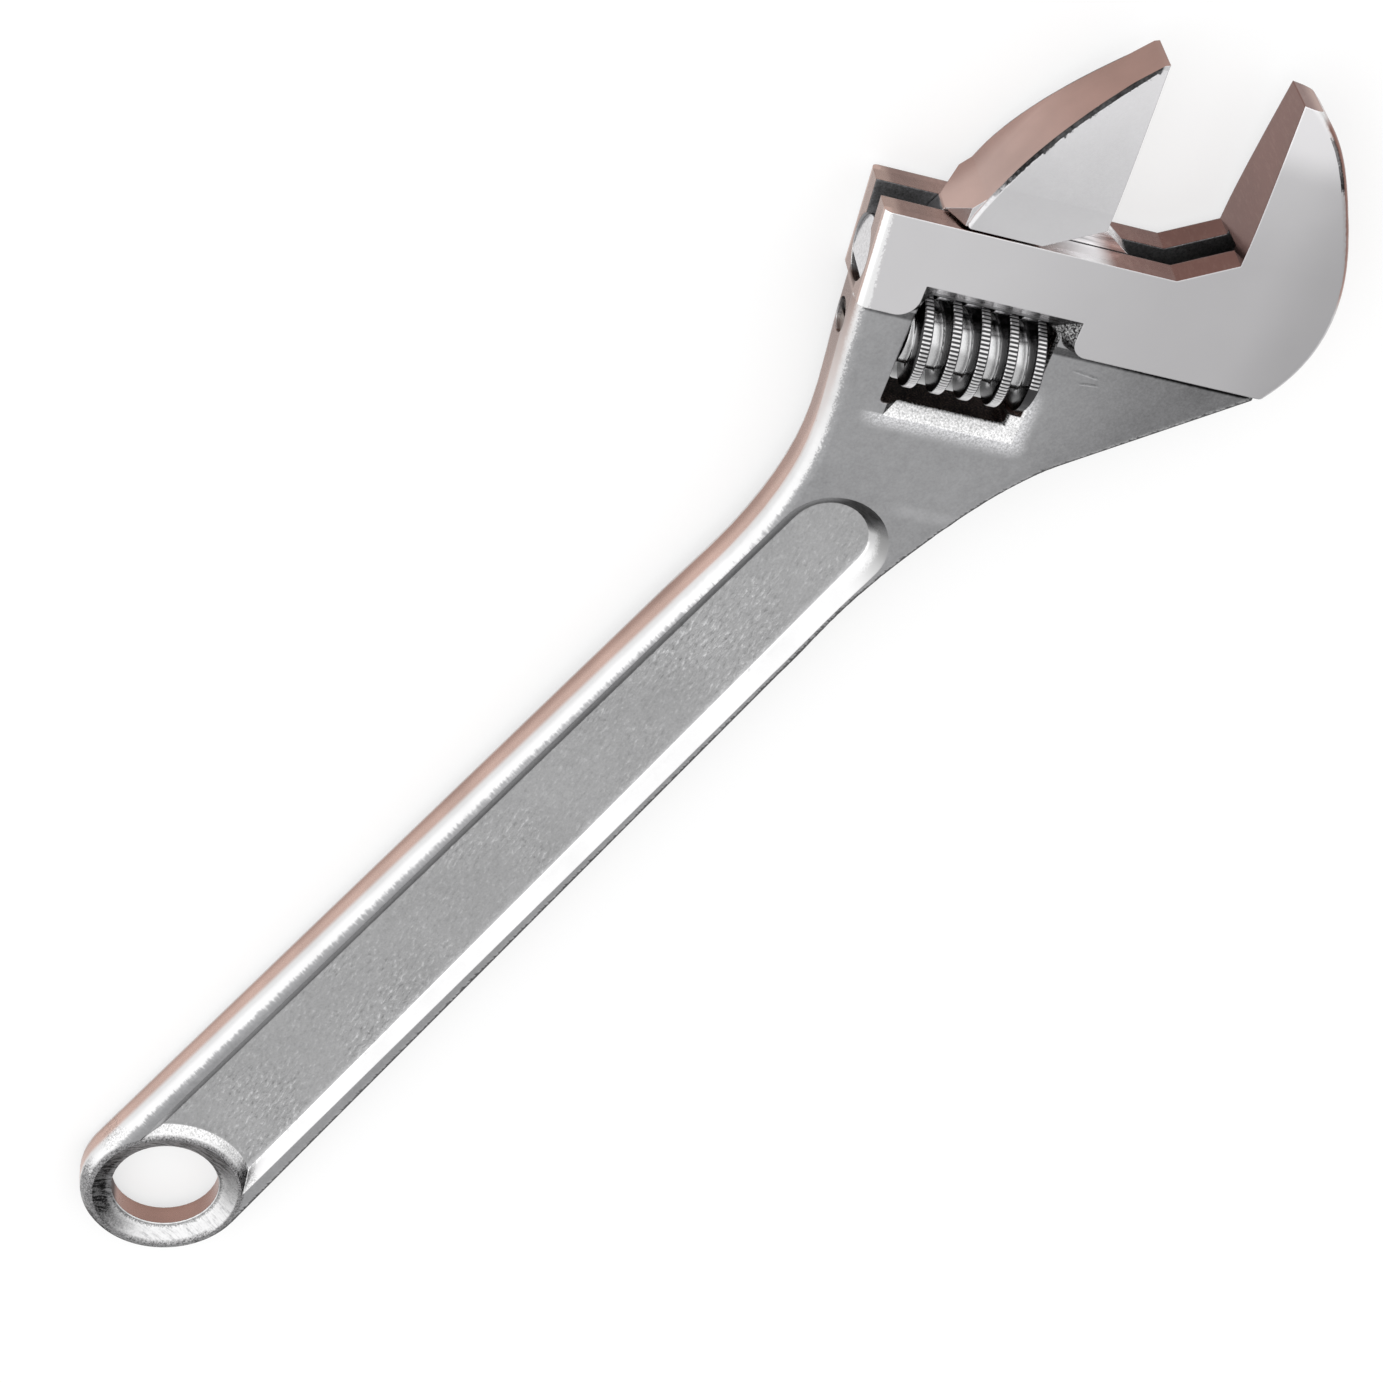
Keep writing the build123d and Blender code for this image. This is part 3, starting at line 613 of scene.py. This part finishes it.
def jaw_finish():
    material, nodes = new_finish("jaw_plate")
    point = point_in_mm(nodes)
    z = point.part("Z")
    s = reach(point, throat, slide)
    t = reach(point, throat, along_jaw)
    up = abs(facing(nodes).part("Z"))
    web = abs(z).fall(web_half, web_half + 0.1) * t.fall(web_top, web_top + 0.2)
    web = web * s.rise(web_rear, web_rear + 1.0)
    milled = web.larger(t.fall(milled_below - 0.5, milled_below))

    clouds = nodes.noise(point, scale=0.06, detail=3.0) - 0.5
    grain = nodes.noise(point, scale=1.7, detail=3.0, roughness=0.6) - 0.5
    jaggedness = nodes.noise(point, scale=0.9, detail=4.0, roughness=0.7) - 0.5
    cuts = nodes.add("ShaderNodeCombineXYZ", {}, [s * cut_along, t * cut_across, z * cut_across])
    marks = nodes.noise(cuts, scale=1.0, detail=3.0, roughness=0.65) - 0.5
    nicks = nodes.specks(point, scale=0.085, size=0.075) * up.rise(*face_turn)

    # A ragged dark band along the edge where the jaw's face turns into its back: a painted dark reflection, also
    # rougher.
    from_arc_s = s - back_arc_s
    from_arc_t = t - back_arc_t
    inside = back_arc_radius - (from_arc_s * from_arc_s + from_arc_t * from_arc_t).math("SQRT")
    dark_band = (inside + jaggedness * 3.0 + t.fall(*dark_band_wide_below) * 0.8).fall(*dark_band_width)
    rim = up.within(*rim_turn) * (up + jaggedness * 0.12).fall(*ragged_rim_turn)
    dark_edge_reflection = dark_band.larger(rim) * up.rise(*dark_edge_turn) * (t + jaggedness * 12.0).rise(*dark_edge_from)
    dark_edge_reflection = dark_edge_reflection * s.fall(jaw_nose - 1.2, jaw_nose - 0.6)

    # The jaw's back gets a painted brown reflection, deeper towards the tip and on its lower half.
    flank = (up + jaggedness * 0.25).fall(*back_turn) * (1 - milled)
    deep = t.rise(*back_deepens_t).larger(z.fall(*back_far_half) * 0.8)
    base = nodes.mix(flank, jaw_plate, nodes.mix(deep, reflected_back_pale, reflected_back_deep))
    shade = 1 + clouds * (0.20 + flank * 0.4) + grain * 0.06 + marks * (milled * 0.9 + web * 1.5)
    shade = shade - nicks * 0.75 - dark_edge_reflection * (0.93 + jaggedness * 0.3)
    rough = 0.25 + grain * 0.10 - milled * 0.08 + dark_edge_reflection * 0.2
    relief = grain * 0.006 + marks * milled * 0.03 - nicks * 0.10
    metal(nodes, base.scaled(shade.larger(0.03)), rough, relief, jaw_edge_round)
    return material


dress("sliding_jaw", jaw_finish())


# Adjusting worm: a turned steel screw, plated bright, in mesh with the jaw's rack. Its crest is knurled
# with straight ridges for the thumb, rolled into the crest all along the thread.
worm_length = 0.028
worm_pitch = 0.006
worm_radius = 0.0112
worm_root_mm = 6.7
worm_first_crest = 0.0014
worm_axis = Vector(joints["worm_spin"]["pos_m"])
worm_start = worm_axis - slide * worm_length / 2
worm_edge_round = 0.0002
worm_bright = (0.700, 0.700, 0.705)
worm_flank_shade = (0.120, 0.118, 0.120)
worm_shadow = (0.060, 0.059, 0.061)
grime = (0.022, 0.021, 0.022)
weld_gap = 0.000002
kept_share = 0.35
sharp_turn = 0.5

knurl_depth = 0.00022
ridges_per_turn = 80
ridge_width = 0.00054
ridge_top_share = 0.72
ridge_length = 0.0020
ridge_sunk = 0.00006
ridge_clear = 0.00001
ridge_margin = 0.0010
ridge_edge_round = 0.00006
ridge_bright = (0.700, 0.695, 0.700)


def worm_finish():
    material, nodes = new_finish("worm_plate")
    point = point_in_mm(nodes)
    grain = nodes.noise(point, scale=3.0)
    beside = reach(point, worm_axis, along_jaw)
    above = point.part("Z")
    radius = (beside * beside + above * above).math("SQRT")
    crest_mm = (worm_radius - knurl_depth) * mm_per_metre
    flank = radius.rise(worm_root_mm + 0.5, worm_root_mm + 1.4)
    crest = radius.rise(crest_mm - 0.10, crest_mm - 0.03)
    # The thread's flanks are painted dark as shade, and the crest between the ridges darker still as painted
    # shadow.
    base = nodes.mix(flank, worm_bright, worm_flank_shade)
    base = nodes.mix(crest, base, worm_shadow)
    base = nodes.mix(grain * 0.14, base, grime)
    metal(nodes, base, 0.17 + grain * 0.08, grain * 0.006, worm_edge_round)
    return material


def turned_down(material):
    """The worm as it is turned before knurling: a copy of its solid with the crest taken down."""
    mesh = frame["nodes"]["adjusting_worm"].data.copy()
    mesh.name = "worm_screw"
    floor_radius = worm_radius - knurl_depth
    for vertex in mesh.vertices:
        along = slide * (vertex.co - worm_axis).dot(slide)
        outwards = vertex.co - worm_axis - along
        if outwards.length > floor_radius:
            vertex.co = worm_axis + along + outwards.normalized() * floor_radius
    shell = bmesh.new()
    shell.from_mesh(mesh)
    bmesh.ops.remove_doubles(shell, verts=shell.verts, dist=weld_gap)
    shell.to_mesh(mesh)
    shell.free()
    mesh.materials.clear()
    mesh.materials.append(material)
    screw = bpy.data.objects.new("worm_screw", mesh)
    bpy.context.scene.collection.objects.link(screw)
    thinning = screw.modifiers.new("thinning", "DECIMATE")
    thinning.ratio = kept_share
    graph = bpy.context.evaluated_depsgraph_get()
    screw.data = bpy.data.meshes.new_from_object(screw.evaluated_get(graph))
    screw.modifiers.remove(thinning)
    screw.data.shade_smooth()
    screw.data.set_sharp_from_angle(angle=sharp_turn)
    return screw


def ridge_finish():
    material, nodes = new_finish("knurl_plate")
    grain = nodes.noise(point_in_mm(nodes), scale=4.0)
    base = nodes.mix(grain * 0.12, ridge_bright, grime)
    metal(nodes, base, 0.24 + grain * 0.10, grain * 0.004, ridge_edge_round)
    return material


def knurl_tree():
    """Ridges on a screw's crest: one for each step along the thread, turned to face outwards."""
    tree = bpy.data.node_groups.new("knurl_ridges", "GeometryNodeTree")
    sizes = ("Start", "Step", "First Crest", "Pitch", "Radius", "Width", "Top Share", "Length", "Height")
    tree.interface.new_socket("Count", in_out="INPUT", socket_type="NodeSocketInt")
    for name in sizes:
        tree.interface.new_socket(name, in_out="INPUT", socket_type="NodeSocketFloat")
    tree.interface.new_socket("Finish", in_out="INPUT", socket_type="NodeSocketMaterial")
    tree.interface.new_socket("Ridges", in_out="OUTPUT", socket_type="NodeSocketGeometry")
    nodes = Nodes(tree)
    inputs = tree.nodes.new("NodeGroupInput")

    def given(name):
        return Value(nodes, inputs.outputs[name])

    station = given("Start") + nodes.add("GeometryNodeInputIndex") * given("Step")
    turn = (station - given("First Crest")) / given("Pitch") * (2 * pi)
    radius = given("Radius")
    place = [turn.math("COSINE") * radius, turn.math("SINE") * radius, station]
    place = nodes.add("ShaderNodeCombineXYZ", {}, place)
    row = nodes.add("GeometryNodeMeshLine", {}, {"Count": given("Count")})
    row = nodes.add("GeometryNodeSetPosition", {}, {"Geometry": row, "Position": place})

    corner = sqrt(0.5)
    block = {
        "Vertices": 4,
        "Radius Bottom": corner,
        "Radius Top": given("Top Share") * corner,
        "Depth": 1.0,
    }
    ridge = nodes.add("GeometryNodeMeshCone", {}, block)
    ridge = nodes.add("GeometryNodeTransform", {}, {"Geometry": ridge, "Rotation": (0.0, 0.0, pi / 4)})
    extent = nodes.add("ShaderNodeCombineXYZ", {}, [given("Length"), given("Width"), given("Height")])
    ridge = nodes.add("GeometryNodeTransform", {}, {"Geometry": ridge, "Scale": extent})
    ridge = nodes.add("GeometryNodeTransform", {}, {"Geometry": ridge, "Rotation": (0.0, pi / 2, 0.0)})

    outwards = nodes.add("ShaderNodeCombineXYZ", {}, {"Z": turn})
    outwards = nodes.add("FunctionNodeEulerToRotation", {}, [outwards])
    copies = {"Points": row, "Instance": ridge, "Rotation": outwards}
    ridges = nodes.add("GeometryNodeInstanceOnPoints", {}, copies)
    ridges = nodes.add("GeometryNodeRealizeInstances", {}, [ridges])
    ridges = nodes.add("GeometryNodeSetMaterial", {}, {"Geometry": ridges, "Material": given("Finish")})
    nodes.add("NodeGroupOutput", {}, [ridges])
    return tree


def knurl(finish):
    """The knurl's ridges as one mesh, in the frame."""
    step = worm_pitch / ridges_per_turn
    values = {
        "Count": int((worm_length - 2 * ridge_margin) / step) + 1,
        "Start": ridge_margin,
        "Step": step,
        "First Crest": worm_first_crest,
        "Pitch": worm_pitch,
        "Radius": worm_radius - knurl_depth - ridge_sunk - ridge_clear,
        "Width": ridge_width,
        "Top Share": ridge_top_share,
        "Length": ridge_length,
        "Height": knurl_depth + ridge_sunk,
        "Finish": finish,
    }
    tree = knurl_tree()
    maker = bpy.data.objects.new("knurl_maker", bpy.data.meshes.new("knurl_maker"))
    bpy.context.scene.collection.objects.link(maker)
    modifier = maker.modifiers.new("ridges", "NODES")
    modifier.node_group = tree
    for item in tree.interface.items_tree:
        if item.in_out == "INPUT":
            modifier[item.identifier] = values[item.name]
    bpy.context.view_layer.update()
    graph = bpy.context.evaluated_depsgraph_get()
    mesh = bpy.data.meshes.new_from_object(maker.evaluated_get(graph))
    bpy.data.objects.remove(maker)
    turned = Matrix((along_jaw, slide.cross(along_jaw), slide)).transposed().to_4x4()
    mesh.transform(Matrix.Translation(worm_start) @ turned)
    ridges = bpy.data.objects.new("worm_knurl", mesh)
    bpy.context.scene.collection.objects.link(ridges)
    return ridges


worm_screw = turned_down(worm_finish())
worm_knurl = knurl(ridge_finish())
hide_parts("adjusting_worm")
for piece in (worm_screw, worm_knurl):
    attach(piece, "worm")


# Worm pin and spring: a turned pin with a slotted head, screwed in from the rear of the head, and a coil of
# drawn wire in the worm's end that takes up its play.
# The pin's brown cast is a painted reflection of a brown surface.
pin_steel = (0.300, 0.245, 0.215)
wire_steel = (0.230, 0.230, 0.240)
pin_edge_round = 0.0002
wire_edge_round = 0.0001


def turned_finish(name, colour, edge_round):
    material, nodes = new_finish(name)
    point = point_in_mm(nodes)
    grain = nodes.noise(point, scale=4.0, detail=3.0)
    rings = nodes.noise(point, scale=1.2)
    base = nodes.mix(grain * 0.35, colour, grime)
    metal(nodes, base, 0.26 + rings * 0.12, grain * 0.012, edge_round)
    return material


dress("worm_pin", turned_finish("pin_steel", pin_steel, pin_edge_round))
dress("worm_spring", turned_finish("spring_steel", wire_steel, wire_edge_round))


# Stage: a pale floor that the wrench lies on, resting on its worm and on the end of its handle, under a
# soft white tent that is brighter on the camera's side. Under the worm the floor has no glow of its own.
white = (1.0, 1.0, 1.0, 1.0)
floor_colour = (0.950, 0.950, 0.950, 1.0)
floor_size = 6.0
floor_gap = 0.0003
floor_glow = 0.62
under_worm = (15.0, 19.0)
handle_contact = Vector((-0.016, 0.0, -0.0054))
worm_contact = Vector((worm_axis.x, 0.0, cad_box[0].z - floor_gap))
tent_dim = 0.80
tent_bright = 1.40
bright_side = Vector((0.55, 0.80, 0.25)).normalized()
bright_from = (-0.15, 0.20)


def floor_finish():
    material, nodes = new_finish("pale_floor")
    seen = nodes.add("ShaderNodeLightPath", {}, {}, "Is Camera Ray")
    for ray in ("Is Glossy Ray", "Is Transmission Ray"):
        seen = seen.larger(nodes.add("ShaderNodeLightPath", {}, {}, ray))
    point = point_in_mm(nodes)
    beneath = abs(reach(point, worm_axis, slide))
    beside = abs(reach(point, worm_axis, along_jaw))
    in_the_open = beneath.larger(beside).rise(*under_worm)
    lit = nodes.add("ShaderNodeBsdfDiffuse", {}, {"Color": floor_colour})
    glow = nodes.add("ShaderNodeEmission", {}, {"Color": white, "Strength": 1.0})
    surface = nodes.add("ShaderNodeMixShader", {}, [seen * in_the_open * floor_glow, lit, glow])
    nodes.add("ShaderNodeOutputMaterial", {}, {"Surface": surface})
    return material


def pale_floor():
    lie = worm_contact - handle_contact
    tilt = atan2(-lie.z, lie.x)
    half = floor_size / 2
    corners = [(-half, -half, 0.0), (half, -half, 0.0), (half, half, 0.0), (-half, half, 0.0)]
    mesh = bpy.data.meshes.new("floor")
    mesh.from_pydata(corners, [], [(0, 1, 2, 3)])
    mesh.transform(Matrix.Translation(worm_contact) @ Matrix.Rotation(tilt, 4, "Y"))
    mesh.materials.append(floor_finish())
    floor = bpy.data.objects.new("floor", mesh)
    bpy.context.scene.collection.objects.link(floor)


def white_tent():
    world = bpy.data.worlds.new("white_tent")
    world.use_nodes = True
    world.node_tree.nodes.clear()
    nodes = Nodes(world.node_tree)
    towards = nodes.add("ShaderNodeTexCoord", {}, {}, "Generated")
    strength = tent_dim + towards.along(bright_side).rise(*bright_from) * (tent_bright - tent_dim)
    glow = nodes.add("ShaderNodeBackground", {}, {"Color": white, "Strength": strength})
    nodes.add("ShaderNodeOutputWorld", {}, {"Surface": glow})
    bpy.context.scene.world = world


pale_floor()
white_tent()


# Camera: a long lens, looking down on the wrench from beyond its head, as the photograph was taken.
# Its place and its turn were worked out from the head's straight edges and flat faces.
camera_place = Vector((0.4944, 0.3578, 0.6267))
camera_right = Vector((0.65544, -0.74824, 0.10260))
camera_up = Vector((0.64035, 0.47855, -0.60078))
lens_mm = 97.58
sensor_mm = 36.0
nearest_seen = 0.01
farthest_seen = 50.0


def photo_camera():
    lens = bpy.data.cameras.new("photo_camera")
    lens.sensor_fit = "HORIZONTAL"
    lens.sensor_width = sensor_mm
    lens.lens = lens_mm
    lens.clip_start = nearest_seen
    lens.clip_end = farthest_seen
    camera = bpy.data.objects.new("photo_camera", lens)
    back = camera_right.cross(camera_up)
    turned = Matrix((camera_right, camera_up, back)).transposed().to_4x4()
    camera.matrix_world = Matrix.Translation(camera_place) @ turned
    bpy.context.scene.collection.objects.link(camera)
    bpy.context.scene.camera = camera


photo_camera()
bpy.context.scene.view_settings.view_transform = "Standard"
